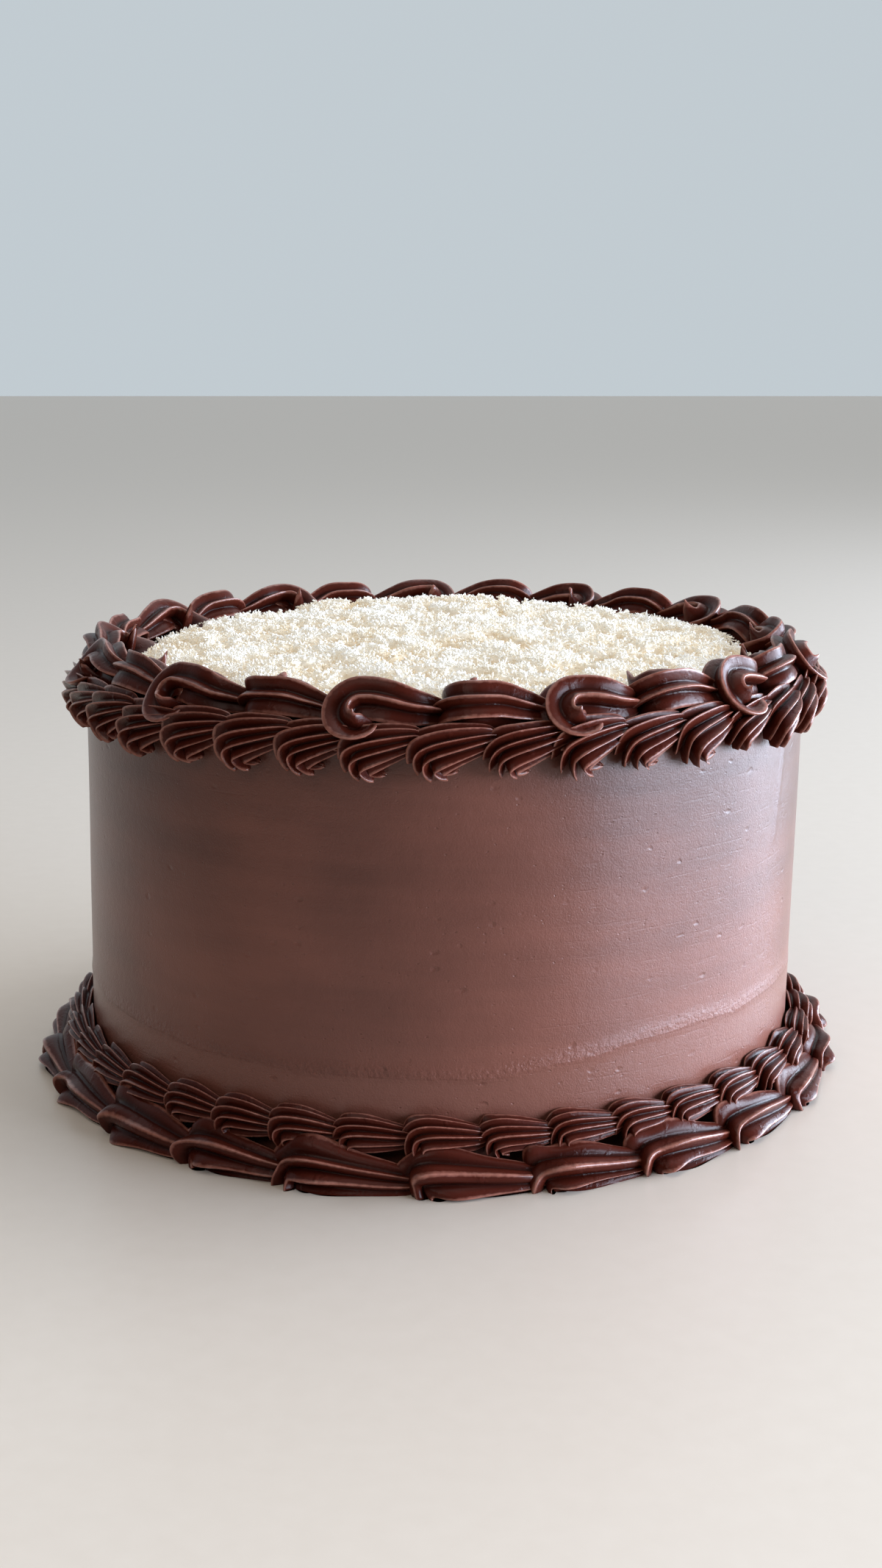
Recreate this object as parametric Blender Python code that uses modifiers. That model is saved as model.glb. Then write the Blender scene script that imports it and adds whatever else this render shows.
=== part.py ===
# Coconut cake: a tall round layer cake in chocolate icing.
# It carries piped borders round its top and its foot, and a bed of coconut on its top.
# The front of the cake faces -Y and its foot rests on the plane z = 0.

import math
import random

import bmesh
import bpy
from mathutils import Matrix, Vector, geometry, noise

MM = 0.001

# Cake
CAKE_RADIUS = 100.4
CAKE_HEIGHT = 112.0
CAKE_SIDES = 64
EDGE_ROUND = 5.0
LEAN = 0.015

# Space between neighbouring pieces
GAP = 0.35
BACK_RADIUS = CAKE_RADIUS + GAP

# Scrolls on the top edge: a rope that rises round a loop, turns over and runs out in a tail.
# Turns are (degrees round the loop, share of the full rope). Tails are (along, out, up, rope).
SCROLL_COUNT = 24
SCROLL_PHASE = -3.0
SCROLL_RING = 93.5
SCROLL_FOOT = CAKE_HEIGHT + GAP
SCROLL_INNER = 82.8
SCROLL_ROPE = 6.8
SCROLL_GROOVE = 0.62
SCROLL_LOOP = 5.6
SCROLL_TILT = math.radians(45.0)
SCROLL_FINS = 7
SCROLL_FLAT = 0.3
SCROLL_ALONG = 10.4
SCROLL_SIDE = 5.2
SCROLL_SHIFT = -0.8
SCROLL_PIVOT = 2.9
SCROLL_SPREAD = 0.7
SCROLL_SIZES = (0.95, 1.04)
SCROLL_TURNS = ((-60, 0.7), (-12, 1.0), (42, 1.0), (100, 0.98))
TAIL_START = (18.5, 1.6, 4.2, 0.86)
TAIL_END = (28.5, 3.2, 0.5)
TAIL_CROSSING = 0.6

# Shells are cross-sections that repeat from head to head, each a little larger or smaller.
# A row of a shape starts with its station, the share of the way from one head to the next.
SHELL_SIZES = (0.93, 1.05)
FIN_ROUND = 0.8

# Small shells on the wall below the top edge.
# Rows are (station, height of the top fin, height of the lowest fin, reach, lead in degrees).
UPPER_COUNT = 38
UPPER_PHASE = -4.4
UPPER_TAIL_Z = 108.6
UPPER_FINS = 5
UPPER_GROOVE = 0.72
UPPER_SPREAD = 0.7
UPPER_SHAPE = ((0.04, 3.2, -8.4, 6.6, 0.5), (0.42, 3.3, -9.4, 7.6, 0.0), (1.02, 2.0, -2.2, 2.6, 0.0))

# Small shells on the wall above the foot, with rows as above
LOWER_COUNT = 38
LOWER_PHASE = -5.0
LOWER_TAIL_Z = 12.3
LOWER_FINS = 4
LOWER_GROOVE = 0.74
LOWER_SPREAD = 0.7
LOWER_SEAT = 0.7
LOWER_LIFT = 0.1
LOWER_SHAPE = ((0.04, 4.6, -4.3, 6.4, 0.5), (0.45, 5.3, -4.4, 7.5, 0.0), (1.02, 2.4, -3.6, 3.4, 0.0))

# Large shells round the foot. Rows are (station, swell, lead in degrees), and the outline is
# (distance out, height) from under the small shells, over the lobe and the fins, to the foot.
BASE_COUNT = 23
BASE_PHASE = -6.2
BASE_SPREAD = 0.9
BASE_SHAPE = ((0.02, 0.86, 0.9), (0.16, 1.0, 0.3), (0.6, 0.86, 0.0), (1.01, 0.55, 0.0))
BASE_OUTLINE = ((5.6, 0.0), (8.4, 10.2), (11.2, 8.4), (12.9, 6.3), (11.8, 4.6), (15.4, 2.7), (13.2, 0.0))
BASE_REACH = 15.4
BASE_LEVEL = 0.25

# The seam between the foot shells and the small shells above them is a shallow cone
SEAM_Z = 5.9
SEAM_RISE = 0.35

# Coconut bed
BED_RADIUS = 82.4
BED_RIM_Z = 115.6
BED_DOME = 4.6
BED_POINTS = 500
BED_RIM_POINTS = 64
BED_EDGE = 3.0
LUMP_HEIGHT = 1.3
LUMP_WIDTH = 17.0
SHRED_HEIGHT = 0.7

# The icing and the coconut are uneven by small amounts that always fall the same way
UNEVEN = random.Random(11)


def clear_scene():
    for obj in list(bpy.data.objects):
        bpy.data.objects.remove(obj, do_unlink=True)
    for mesh in list(bpy.data.meshes):
        bpy.data.meshes.remove(mesh)


def collection(name):
    made = bpy.data.collections.new(name)
    bpy.context.scene.collection.children.link(made)
    return made


def material(name, colour, roughness):
    made = bpy.data.materials.new(name)
    made.use_nodes = True
    shader = made.node_tree.nodes["Principled BSDF"]
    shader.inputs["Base Color"].default_value = (*colour, 1.0)
    shader.inputs["Roughness"].default_value = roughness
    shader.inputs["Metallic"].default_value = 0.0
    made.diffuse_color = (*colour, 1.0)
    return made


def solid(name, points, faces, group):
    """Join points in millimetres and faces into one closed object with outward normals."""
    mesh = bpy.data.meshes.new(name)
    mesh.from_pydata([Vector(p) * MM for p in points], [], faces)
    shape = bmesh.new()
    shape.from_mesh(mesh)
    bmesh.ops.triangulate(shape, faces=shape.faces, quad_method="SHORT_EDGE")
    bmesh.ops.recalc_face_normals(shape, faces=shape.faces)
    shape.to_mesh(mesh)
    shape.free()
    made = bpy.data.objects.new(name, mesh)
    group.objects.link(made)
    return made


def turned(name, profile, sides, group):
    """Spin an (r, z) profile in millimetres, drawn top to bottom at +X, round the Z axis."""
    mesh = bpy.data.meshes.new(name)
    edges = [(i, i + 1) for i in range(len(profile) - 1)]
    mesh.from_pydata([(r * MM, 0.0, z * MM) for r, z in profile], edges, [])
    made = bpy.data.objects.new(name, mesh)
    group.objects.link(made)
    spin = made.modifiers.new("Spin", "SCREW")
    spin.axis = "Z"
    spin.steps = sides
    spin.render_steps = sides
    spin.use_merge_vertices = True
    spin.merge_threshold = 0.00001
    return made


def apply_modifiers(obj):
    graph = bpy.context.evaluated_depsgraph_get()
    graph.update()
    done = bpy.data.meshes.new_from_object(obj.evaluated_get(graph))
    obj.modifiers.clear()
    obj.data = done


def round_cake(radius, z, degrees):
    """A point at a radius and height; degrees run from the front towards +X."""
    turn = math.radians(degrees)
    return Vector((radius * math.sin(turn), -radius * math.cos(turn), z))


def uneven_heads(count, phase, spread):
    """Angles at which the heads of a border start, with one more to close the ring."""
    step = 360.0 / count
    heads = [phase + step * i + UNEVEN.uniform(-spread, spread) for i in range(count)]
    return heads + [heads[0] + 360.0]


def ring_of_shells(name, heads, shape, section, group):
    """Loft a closed ring whose cross-sections step up at each head and run out to each tail.

    section(row, size) gives (radius, z, lead in degrees) points round the cross-section that
    a row of the shape stands for, and the first value of the row is its station.
    """
    loops = []
    for start, end in zip(heads, heads[1:]):
        size = UNEVEN.uniform(*SHELL_SIZES)
        for row in shape:
            turn = start + (end - start) * row[0]
            loops.append([round_cake(r, z, turn - lead) for r, z, lead in section(row[1:], size)])
    across = len(loops[0])
    faces = []
    for i in range(len(loops)):
        j = (i + 1) % len(loops)
        for a in range(across):
            b = (a + 1) % across
            faces.append((i * across + a, i * across + b, j * across + b, j * across + a))
    return solid(name, [p for loop in loops for p in loop], faces, group)


def fan(fins, top, foot, reach, groove):
    """Zigzag half-round of fins as (height, distance out) pairs from the top to the foot."""
    middle = 0.5 * (top + foot)
    points = []
    for i in range(2 * fins + 1):
        turn = math.pi * i / (2 * fins)
        out = reach * math.sin(turn) ** FIN_ROUND
        height = middle + 0.5 * (top - foot) * math.cos(turn)
        if i % 2 == 0 and 0 < i < 2 * fins:
            height = middle + (height - middle) * groove
            out *= groove
        points.append((height, out))
    return points


def upper_section(row, size):
    """Fins that spread down the wall from the tail of each small shell."""
    top, foot, reach, lead = row
    full = max(shape[3] for shape in UPPER_SHAPE)
    points = []
    for height, out in fan(UPPER_FINS, top, foot * size, reach * size, UPPER_GROOVE):
        points.append((BACK_RADIUS + out, UPPER_TAIL_Z + height, lead * out / full))
    return points


def lower_section(row, size):
    """Fins that spread both ways from the tail of each small shell, on the seam below."""
    top, foot, reach, lead = row
    full = max(shape[3] for shape in LOWER_SHAPE)
    points = []
    for height, out in fan(LOWER_FINS, top * size, foot, reach * size, LOWER_GROOVE)[:-1]:
        points.append((BACK_RADIUS + out, LOWER_TAIL_Z + height, lead * out / full))
    floor_z = SEAM_Z + GAP + LOWER_LIFT
    seat = LOWER_SEAT * reach
    points[-1] = (BACK_RADIUS + seat, floor_z + SEAM_RISE * seat, 0.0)
    points.append((BACK_RADIUS, floor_z, 0.0))
    return points


def base_section(row, size):
    """A broad lobe over two fins, flat where it rests and tucked under the small shells."""
    swell, lead = row
    swell *= size
    points = []
    for out, z in BASE_OUTLINE:
        height = z * (BASE_LEVEL + (1.0 - BASE_LEVEL) * swell)
        points.append((BACK_RADIUS + out * swell, height, lead * out / BASE_REACH))
    seat = BASE_OUTLINE[0][0] * swell
    points[0] = (BACK_RADIUS + seat, SEAM_Z + SEAM_RISE * seat, 0.0)
    points.append((BACK_RADIUS, 0.0, 0.0))
    points.append((BACK_RADIUS, SEAM_Z, 0.0))
    return points


def scroll_path(side, size):
    """Centre line, rope radius and loop axis of one scroll in (along, out, up) millimetres.

    The rope starts low on one side, rises round the loop and runs out to the right.
    side is +1 for a loop that opens outwards and -1 for one that opens inwards.
    """
    left = Vector((-1.0, 0.0, 0.0))
    over = Vector((0.0, -side * math.sin(SCROLL_TILT), math.cos(SCROLL_TILT)))
    axis = Vector((0.0, side * math.cos(SCROLL_TILT), math.sin(SCROLL_TILT)))
    pivot = Vector((SCROLL_ALONG, SCROLL_SHIFT + side * SCROLL_SIDE, SCROLL_PIVOT))
    line = []
    for degrees, rope in SCROLL_TURNS:
        turn = math.radians(degrees)
        reach = SCROLL_LOOP * (left * math.cos(turn) + over * math.sin(turn))
        line.append((pivot + reach * size, SCROLL_ROPE * rope * size))
    along, out, up, rope = TAIL_START
    line.append((Vector((along, out, up)), SCROLL_ROPE * rope * size))
    along, up, rope = TAIL_END
    under = SCROLL_SHIFT - TAIL_CROSSING * SCROLL_SIDE * side
    line.append((Vector((along, under, up)), SCROLL_ROPE * rope))
    return line, axis


def scroll_tube(name, head, side, size, group):
    """Sweep a star of fins along the scroll's centre line and set it flat on the cake's edge."""
    line, axis = scroll_path(side, size)
    centres = [centre for centre, rope in line]
    around = 2 * SCROLL_FINS
    points = []
    for i, (centre, rope) in enumerate(line):
        ahead = centres[min(i + 1, len(line) - 1)] - centres[max(i - 1, 0)]
        ahead.normalize()
        across = (axis - ahead * axis.dot(ahead)).normalized()
        outer = across.cross(ahead) * side
        for k in range(around):
            turn = 2.0 * math.pi * k / around
            reach = rope * (1.0 if k % 2 == 0 else SCROLL_GROOVE)
            reach *= 1.0 + SCROLL_FLAT * min(0.0, math.cos(turn))
            spot = centre + reach * (outer * math.cos(turn) + across * math.sin(turn))
            radius = max(SCROLL_RING + spot.y, SCROLL_INNER)
            degrees = head + math.degrees(spot.x / SCROLL_RING)
            points.append(round_cake(radius, SCROLL_FOOT + max(spot.z, 0.0), degrees))
    last = (len(line) - 1) * around
    faces = [tuple(range(around)), tuple(range(last, last + around))]
    for i in range(len(line) - 1):
        for a in range(around):
            b = (a + 1) % around
            faces.append((i * around + a, i * around + b, (i + 1) * around + b, (i + 1) * around + a))
    return solid(name, points, faces, group)


def scroll_ring(group, cutters):
    """Scrolls that open outwards and inwards in turn, merged into one border."""
    heads = uneven_heads(SCROLL_COUNT, SCROLL_PHASE, SCROLL_SPREAD)[:-1]
    sides = [1 if i % 2 else -1 for i in range(SCROLL_COUNT)]
    ring = scroll_tube("top_scrolls", heads[0], sides[0], 1.0, group)
    for head, side in zip(heads[1:], sides[1:]):
        scroll_tube("scroll", head, side, UNEVEN.uniform(*SCROLL_SIZES), cutters)
    merge = ring.modifiers.new("Scrolls", "BOOLEAN")
    merge.operation = "UNION"
    merge.operand_type = "COLLECTION"
    merge.collection = cutters
    merge.solver = "MANIFOLD"
    apply_modifiers(ring)
    for scroll in list(cutters.objects):
        bpy.data.objects.remove(scroll, do_unlink=True)
    return ring


def coconut_bed(group):
    """A lumpy mound of shredded coconut with a steep rim, scattered evenly from its middle."""
    golden = math.pi * (3.0 - math.sqrt(5.0))
    flat = []
    for i in range(BED_POINTS):
        reach = (BED_RADIUS - BED_EDGE) * math.sqrt((i + 0.5) / BED_POINTS)
        flat.append(Vector((reach * math.cos(golden * i), reach * math.sin(golden * i))))
    for i in range(BED_RIM_POINTS):
        turn = 2.0 * math.pi * i / BED_RIM_POINTS
        flat.append(Vector((BED_RADIUS * math.cos(turn), BED_RADIUS * math.sin(turn))))
    sheet = geometry.delaunay_2d_cdt(flat, [], [], 0, 1e-6)
    points = []
    for spot in sheet[0]:
        rise = 1.0 - (spot.length / BED_RADIUS) ** 2
        lumps = LUMP_HEIGHT * noise.noise(Vector((spot.x, spot.y, BED_EDGE)) / LUMP_WIDTH)
        shreds = UNEVEN.uniform(-SHRED_HEIGHT, SHRED_HEIGHT)
        edge = min(1.0, (BED_RADIUS - spot.length) / BED_EDGE)
        z = BED_RIM_Z + BED_DOME * rise + (lumps + shreds) * edge
        points.append(Vector((spot.x, spot.y, z)))
    faces = [tuple(face) for face in sheet[2]]
    rim = sorted((i for i, p in enumerate(points) if p.xy.length > BED_RADIUS - 0.1),
                 key=lambda i: math.atan2(points[i].y, points[i].x))
    foot = len(points)
    points += [Vector((points[i].x, points[i].y, SCROLL_FOOT)) for i in rim]
    for a in range(len(rim)):
        b = (a + 1) % len(rim)
        faces.append((rim[a], rim[b], foot + b, foot + a))
    faces.append(tuple(foot + a for a in range(len(rim))))
    return solid("coconut", points, faces, group)


def cake_body(group):
    """Smooth iced wall with a rounded top edge."""
    round_start = CAKE_HEIGHT - EDGE_ROUND
    profile = [(0.0, CAKE_HEIGHT)]
    for degrees in (90.0, 45.0, 0.0):
        turn = math.radians(degrees)
        profile.append((CAKE_RADIUS - EDGE_ROUND * (1.0 - math.cos(turn)),
                        round_start + EDGE_ROUND * math.sin(turn)))
    profile += [(CAKE_RADIUS, 0.0), (0.0, 0.0)]
    body = turned("cake", profile, CAKE_SIDES, group)
    apply_modifiers(body)
    return body


def main():
    clear_scene()
    cake = collection("coconut_cake")
    cutters = collection("cutters")
    icing = material("chocolate_icing", (0.105, 0.048, 0.036), 0.38)
    piping = material("piped_icing", (0.052, 0.019, 0.013), 0.34)
    coconut = material("coconut_shreds", (0.80, 0.72, 0.58), 0.85)

    pieces = [(cake_body(cake), icing)]
    pieces.append((coconut_bed(cake), coconut))
    pieces.append((scroll_ring(cake, cutters), piping))
    upper = uneven_heads(UPPER_COUNT, UPPER_PHASE, UPPER_SPREAD)
    pieces.append((ring_of_shells("upper_shells", upper, UPPER_SHAPE, upper_section, cake), piping))
    lower = uneven_heads(LOWER_COUNT, LOWER_PHASE, LOWER_SPREAD)
    pieces.append((ring_of_shells("lower_shells", lower, LOWER_SHAPE, lower_section, cake), piping))
    base = uneven_heads(BASE_COUNT, BASE_PHASE, BASE_SPREAD)
    pieces.append((ring_of_shells("base_shells", base, BASE_SHAPE, base_section, cake), piping))

    lean = Matrix(((1.0, 0.0, LEAN, 0.0), (0.0, 1.0, 0.0, 0.0), (0.0, 0.0, 1.0, 0.0),
                   (0.0, 0.0, 0.0, 1.0)))
    for piece, finish in pieces:
        piece.data.transform(lean)
        piece.data.materials.clear()
        piece.data.materials.append(finish)


main()
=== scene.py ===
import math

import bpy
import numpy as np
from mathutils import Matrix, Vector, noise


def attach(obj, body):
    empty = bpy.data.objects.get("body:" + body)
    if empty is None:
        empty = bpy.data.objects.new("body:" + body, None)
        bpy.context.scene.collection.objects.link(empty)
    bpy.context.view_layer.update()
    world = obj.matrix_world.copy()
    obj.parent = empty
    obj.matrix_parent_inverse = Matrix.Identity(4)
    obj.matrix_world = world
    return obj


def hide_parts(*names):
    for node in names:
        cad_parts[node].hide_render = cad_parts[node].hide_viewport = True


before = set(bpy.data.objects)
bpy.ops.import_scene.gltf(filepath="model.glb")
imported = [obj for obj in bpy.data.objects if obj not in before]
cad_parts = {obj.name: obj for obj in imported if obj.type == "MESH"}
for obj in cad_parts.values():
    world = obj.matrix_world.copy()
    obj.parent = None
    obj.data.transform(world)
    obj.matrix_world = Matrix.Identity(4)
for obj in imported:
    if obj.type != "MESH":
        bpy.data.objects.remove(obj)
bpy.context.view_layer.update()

# %% [markdown]
# # A coconut cake with piped borders
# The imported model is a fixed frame: six solids that say where everything is.
# This lesson dresses each of them with the fine shape and finish of the real cake.
# Lengths below are millimetres round the cake's own axis, and turn into metres at the end.

MM = 0.001
LEAN = 0.015
WALL = 100.4
TOP = 112.0
print("solids:", sorted(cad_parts))

# %% [markdown]
# ## Round the cake
# Every border follows the wall, so its points are easiest to give as a distance from the
# axis, a height and an angle that runs from the front to the right. One helper turns these
# into metres and adds the small lean that the real cake has. Another spaces the heads of a
# border as a hand does: nearly evenly.

# %% Cylinder coordinates
def round_cake(radius, height, degrees):
    """Points in metres, from a radius, a height and an angle from the front."""
    turn = np.radians(degrees)
    x = radius * np.sin(turn) + LEAN * height
    return np.stack([x, -radius * np.cos(turn), height + 0.0 * x], axis=-1) * MM


def heads_of(count, phase, spread, seed):
    """Angles of a border's heads, each up to spread off its even place, then the first again."""
    rng = np.random.RandomState(seed)
    heads = phase + 360.0 / count * np.arange(count) + rng.uniform(-spread, spread, count)
    return np.append(heads, heads[0] + 360.0)


def ease(value, low, high):
    """0 below low, 1 above high, smooth between."""
    t = np.clip((value - low) / (high - low), 0.0, 1.0)
    return t * t * (3.0 - 2.0 * t)


print("a point on the wall:", np.round(round_cake(WALL, 50.0, 0.0), 4))

# %% [markdown]
# ## Sheets of points into a mesh
# Piped icing, the wall and the coconut are all grids of points. They could be sculpted, but
# a grid is quick to make with whole arrays, and many grids can share one mesh, so a border
# stays one object. A number per point, the crest, goes along for the colours: 0 in a groove,
# 1 on a ridge.

# %% Mesh from arrays
def mesh_object(name, points, faces, crest, smooth=True):
    """An object from points, faces that all have as many sides, and a crest for each point."""
    mesh = bpy.data.meshes.new(name)
    sides = faces.shape[1]
    mesh.vertices.add(len(points))
    mesh.vertices.foreach_set("co", points.astype(np.float32).reshape(-1))
    mesh.loops.add(faces.size)
    mesh.loops.foreach_set("vertex_index", faces.astype(np.int32).reshape(-1))
    mesh.polygons.add(len(faces))
    mesh.polygons.foreach_set("loop_start", np.arange(0, faces.size, sides, dtype=np.int32))
    mesh.update(calc_edges=True)
    mesh.polygons.foreach_set("use_smooth", np.full(len(faces), smooth))
    layer = mesh.attributes.new("crest", "FLOAT", "POINT")
    layer.data.foreach_set("value", np.asarray(crest, dtype=np.float32))
    mesh.validate()
    made = bpy.data.objects.new(name, mesh)
    bpy.context.scene.collection.objects.link(made)
    print(name, "triangles:", len(faces) * (sides - 2))
    return made


print("mesh builder ready")

# %% [markdown]
# A grid's faces join each point to its neighbours. The columns of a rope close into a ring,
# and those of a shell, which sits on its base, stay open.

# %% Joining grids
def grid_faces(rows, columns, closed, start):
    """Quads of a rows x columns grid whose columns may close into a ring."""
    across = columns if closed else columns - 1
    r, c = np.meshgrid(np.arange(rows - 1), np.arange(across), indexing="ij")
    n = (c + 1) % columns
    quads = np.stack([r * columns + c, r * columns + n, (r + 1) * columns + n,
                      (r + 1) * columns + c], axis=-1)
    return quads.reshape(-1, 4) + start


def join_grids(name, grids, closed=False):
    """One object from (points, crest) grids, with the crest kept as a point attribute."""
    points, crests, faces, start = [], [], [], 0
    for grid, crest in grids:
        rows, columns = grid.shape[:2]
        faces.append(grid_faces(rows, columns, closed, start))
        points.append(grid.reshape(-1, 3))
        crests.append(np.broadcast_to(crest, (rows, columns)).reshape(-1))
        start += rows * columns
    return mesh_object(name, np.concatenate(points), np.concatenate(faces), np.concatenate(crests))


print("faces of a 3 x 3 sheet:", len(grid_faces(3, 3, False, 0)))

# %% [markdown]
# ## Writing shader maths as sums
# A material is a chain of small sums. Wrapping a socket in a class with operators lets the
# chain be written as ordinary Python, which reads better than a list of node links.

# %% Sockets that add up
def plug(tree, value, slot):
    """Link a Wire to a socket, or set the socket's own value."""
    if isinstance(value, Wire):
        tree.links.new(value.socket, slot)
    else:
        slot.default_value = value


class Wire:
    """A socket in a material, where + - and * add Math nodes."""

    def __init__(self, tree, socket):
        self.tree = tree
        self.socket = socket

    def _math(self, operation, first, second):
        made = self.tree.nodes.new("ShaderNodeMath")
        made.operation = operation
        for slot, value in zip(made.inputs, (first, second)):
            plug(self.tree, value, slot)
        return Wire(self.tree, made.outputs[0])

    def __add__(self, other):
        return self._math("ADD", self, other)

    def __sub__(self, other):
        return self._math("SUBTRACT", self, other)

    def __rsub__(self, other):
        return self._math("SUBTRACT", other, self)

    def __mul__(self, other):
        return self._math("MULTIPLY", self, other)

    __radd__ = __add__
    __rmul__ = __mul__


print("sockets take + - and *")

# %% [markdown]
# Every other node comes from one method, node(). The short methods below it name the few
# nodes that the finishes of this cake use again and again: noise, a step between two values,
# a blend of two colours, a bump and the crest of the mesh.

# %% Recipes
class Recipe:
    """A shader and the ways to feed it. Constants sit on the shader's own sockets."""

    def __init__(self, tree, shader, **constants):
        self.tree = tree
        self.shader = tree.nodes[shader]
        self.set(**constants)

    def set(self, **values):
        """Feed the shader's own sockets; an underscore stands for a space in their names."""
        for key, value in values.items():
            plug(self.tree, value, self.shader.inputs[key.replace("_", " ")])

    def node(self, kind, output=0, settings=None, numbered=None, **values):
        """Add a node, set its settings, then its sockets; give back one of its outputs."""
        made = self.tree.nodes.new("ShaderNode" + kind)
        for key, value in (settings or {}).items():
            setattr(made, key, value)
        for index, value in (numbered or {}).items():
            plug(self.tree, value, made.inputs[index])
        for key, value in values.items():
            plug(self.tree, value, made.inputs[key.replace("_", " ")])
        return Wire(self.tree, made.outputs[output])

    def crest(self):
        return self.node("Attribute", "Fac", {"attribute_name": "crest"})

    def place(self):
        return self.node("TexCoord", "Object")

    def stretched(self, scale, **values):
        """The place, scaled apart along its three axes, for streaks and squat spots."""
        return self.node("Mapping", Vector=self.place(), Scale=scale, **values)

    def spots(self, scale, detail):
        """Soft noise, about scale spots to the metre."""
        return self.node("TexNoise", Vector=self.place(), Scale=scale, Detail=detail)

    def steps(self, value, low, high):
        """0 up to low, 1 from high on, and a straight ramp between."""
        return self.node("MapRange", Value=value, From_Min=low, From_Max=high)

    def blend(self, share, first, second):
        """The first colour where share is 0, the second where it is 1."""
        return self.node("Mix", 2, {"data_type": "RGBA"}, {0: share, 6: first, 7: second})

    def bump(self, height, distance, strength, **under):
        """Relief in metres; Normal=... lays it over another bump."""
        return self.node("Bump", Height=height, Distance=distance, Strength=strength, **under)


def new_recipe(name, **constants):
    """A new material and the recipe for its shader."""
    material = bpy.data.materials.new(name)
    material.use_nodes = True
    return material, Recipe(material.node_tree, "Principled BSDF", **constants)


print("shader helpers ready")

# %% [markdown]
# ## Piped icing: the finish
# Buttercream with cocoa is a dark red-brown. Its grooves are painted nearly black-brown: painted
# shade where light is lost. Its thin ridges are painted redder and paler: a painted highlight
# where light shines in. The crest number of each point drives both, and gives the ridges their
# gloss too. Fine ripples and a few torn bubbles come from the tip that it is pushed through;
# they are finer than any mesh, so they are bump.

# %% Piped icing material
# The groove colour is painted shade and the ridge colour is a painted highlight.
GROOVE_PAINTED_SHADE = (0.019, 0.0024, 0.0013, 1.0)
FACE_BROWN = (0.062, 0.0100, 0.0053, 1.0)
RIDGE_PAINTED_HIGHLIGHT = (0.310, 0.112, 0.078, 1.0)


def piped_icing():
    material, mix = new_recipe("piped_icing", IOR=1.45, Specular_IOR_Level=0.16,
                               Coat_Roughness=0.24)
    crest = mix.crest()
    cloud = mix.spots(scale=90.0, detail=3.0)
    # Painted shade: towards the grooves the colour goes to a near black-brown.
    clear_of_painted_shade = mix.steps(crest + (cloud - 0.5) * 0.2, 0.0, 0.55)
    ragged = crest + (mix.spots(scale=700.0, detail=2.0) - 0.5) * 0.20
    # Painted highlight: the thin ridges are painted redder and paler.
    ridge = mix.steps(ragged, 0.78, 0.98)
    groove_shaded_brown = mix.blend(clear_of_painted_shade, GROOVE_PAINTED_SHADE, FACE_BROWN)
    mix.set(Base_Color=mix.blend(ridge, groove_shaded_brown, RIDGE_PAINTED_HIGHLIGHT), Coat_Weight=ridge * 0.9)
    mix.set(Roughness=0.22 + cloud * 0.18)
    ripple = mix.spots(scale=1300.0, detail=2.0)
    tears = mix.steps(mix.spots(scale=240.0, detail=5.0), 0.56, 0.70)
    skin = mix.bump(ripple, distance=0.00012, strength=0.5)
    mix.set(Normal=mix.bump(tears, distance=0.00025, strength=0.5, Normal=skin))
    return material


PIPED = piped_icing()
print("finish:", PIPED.name)

# %% [markdown]
# ## A piped shell
# A shell is pressed out as a fat head and pulled away into a thin tail. The star tip leaves
# fins that fan out from the tail and curl down round the head. It could be a sculpted mesh
# copied round, but then all would be twins. Here half a star stands on its base and is swept
# from the tail to the head, then rolls over like a clam to close it, with its own numbers
# each time. First comes the star.

# %% Star sections
def fins_across(edges, dense, sharp, lobed=0.0):
    """Angles across a section, the height of each fin there, and how near its crest lies.

    lobed 0 gives folded fins with thin crests, lobed 1 gives fat fins with narrow grooves.
    """
    angles, heights, crests = [], [], []
    for low, high in zip(edges, edges[1:]):
        side = np.linspace(-1.0, 1.0, dense, endpoint=False)
        side = np.sign(side) * np.abs(side) ** 1.4
        angles.append(low + (high - low) * 0.5 * (side + 1.0))
        near = np.clip(1.0 - np.sqrt(side ** 2 + 0.0015), 0.0, 1.0)
        heights.append((1.0 - lobed) * near ** sharp + lobed * np.sqrt(1.0 - side ** 2))
        crests.append(near)
    return (np.append(np.concatenate(angles), edges[-1]) * math.pi,
            np.append(np.concatenate(heights), 0.0), np.append(np.concatenate(crests), 0.0))


def even_fins(count, rng, spread=0.12):
    """Edges of fins of nearly equal width."""
    edges = np.linspace(0.0, 1.0, count + 1)
    edges[1:-1] += rng.uniform(-spread, spread, count - 1) / count
    return edges


print("points across six fins:", len(fins_across(np.linspace(0.0, 1.0, 7), 8, 1.3)[0]))

# %% [markdown]
# Along the sweep the centre runs from the tail to the head, the section grows, swings
# downwards and rolls forward. The fins lean, flutter a little and hook at their ends.
# A last row, tucked under, closes the head towards the cake.

# %% Sweeping a shell
FULL_AT = 0.74
ROLL_FROM = 0.22
HOOK_FROM = 0.72
HOOK_WAY = np.array([0.5, -0.7])


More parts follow.
